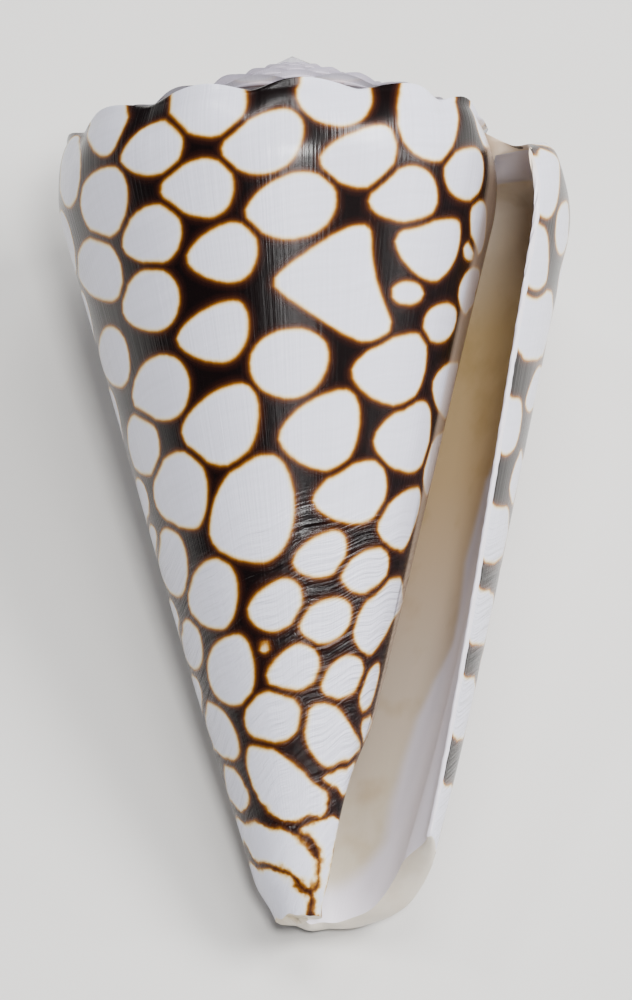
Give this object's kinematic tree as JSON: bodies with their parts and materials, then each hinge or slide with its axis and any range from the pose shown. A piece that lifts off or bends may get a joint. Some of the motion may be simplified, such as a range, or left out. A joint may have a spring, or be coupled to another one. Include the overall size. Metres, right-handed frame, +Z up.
{
  "type": "cone shell",
  "caption": "Marble cone sea shell lying mouth up: a heavy conical coil with a low knobbed spire, a long narrow mouth, and white tent marks on a near-black net.",
  "frame": {"origin": "middle of the bounding box at the surface the shell rests on", "axes": "+Y towards the spire, -Y towards the narrow front end, +Z up, the mouth faces +Z and lies on the +X side"},
  "size_m": [0.0468, 0.0782, 0.0434],
  "materials": {
    "shell_porcelain": "gloss"
  },
  "bodies": {
    "root": {"cone_shell": "shell_porcelain"}
  },
  "joints": []
}
